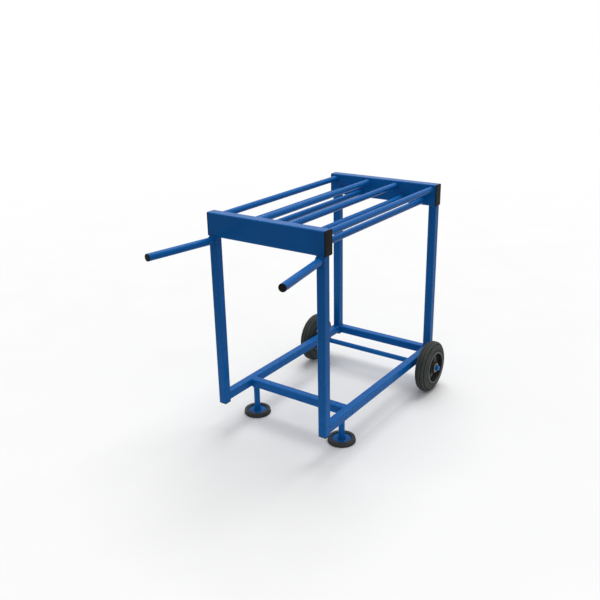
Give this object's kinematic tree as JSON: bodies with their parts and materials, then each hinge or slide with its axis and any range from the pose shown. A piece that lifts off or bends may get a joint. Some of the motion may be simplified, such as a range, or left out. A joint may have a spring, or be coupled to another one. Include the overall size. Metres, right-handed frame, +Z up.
{
  "type": "shot put rack",
  "caption": "Wheeled rack for shots: round rails between end beams on a steel tube frame, with splayed handles, rubber feet in front and wheels on an axle behind.",
  "frame": {"origin": "on the floor, under the centre of the whole rack", "axes": "+X to the right across the rack, +Y from the handles at the front to the wheels at the rear, +Z up"},
  "size_m": [0.614, 1.039, 0.8],
  "materials": {
    "blue_paint": "satin blue powder coat on steel tube",
    "black_plastic": "moulded black plastic caps, plugs and wheel rims",
    "tyre": "dark grey solid rubber",
    "foot_rubber": "black rubber foot pads",
    "bush_plastic": "off-white plastic bushes",
    "zinc": "zinc plated washers, spacers and split pins"
  },
  "bodies": {
    "frame": {"front_beam": "blue_paint", "rear_beam": "blue_paint", "beam_cap_front_left": "black_plastic", "beam_cap_front_right": "black_plastic", "beam_cap_rear_left": "black_plastic", "beam_cap_rear_right": "black_plastic", "leg_front_left": "blue_paint", "leg_front_right": "blue_paint", "leg_rear_left": "blue_paint", "leg_rear_right": "blue_paint", "leg_plug_front_left": "black_plastic", "leg_plug_front_right": "black_plastic", "leg_plug_rear_left": "black_plastic", "leg_plug_rear_right": "black_plastic", "side_rail_left": "blue_paint", "side_rail_right": "blue_paint", "front_cross_tube": "blue_paint", "rear_cross_tube": "blue_paint", "upper_rail_left_inner": "blue_paint", "upper_rail_left_outer": "blue_paint", "upper_rail_right_inner": "blue_paint", "upper_rail_right_outer": "blue_paint", "lower_rail_left_inner": "blue_paint", "lower_rail_left_outer": "blue_paint", "lower_rail_right_inner": "blue_paint", "lower_rail_right_outer": "blue_paint", "handle_left": "blue_paint", "handle_right": "blue_paint", "handle_plug_left": "black_plastic", "handle_plug_right": "black_plastic", "foot_stem_left": "blue_paint", "foot_stem_right": "blue_paint", "foot_disc_left": "blue_paint", "foot_disc_right": "blue_paint", "foot_pad_left": "foot_rubber", "foot_pad_right": "foot_rubber", "axle_bar": "blue_paint", "wheel_spacer_left": "zinc", "wheel_spacer_right": "zinc", "inner_washer_left": "zinc", "inner_washer_right": "zinc", "outer_washer_left": "zinc", "outer_washer_right": "zinc", "split_pin_left": "zinc", "split_pin_right": "zinc"},
    "wheel_left": {"tyre_left": "tyre", "wheel_rim_left": "black_plastic", "wheel_bush_left": "bush_plastic"},
    "wheel_right": {"tyre_right": "tyre", "wheel_rim_right": "black_plastic", "wheel_bush_right": "bush_plastic"}
  },
  "joints": [
    {"name": "wheel_left_spin", "type": "hinge", "parent": "frame", "child": "wheel_left", "pos_m": [-0.268, 0.4155, 0.1], "axis": [1, 0, 0], "continuous": true},
    {"name": "wheel_right_spin", "type": "hinge", "parent": "frame", "child": "wheel_right", "pos_m": [0.268, 0.4155, 0.1], "axis": [1, 0, 0], "continuous": true}
  ]
}
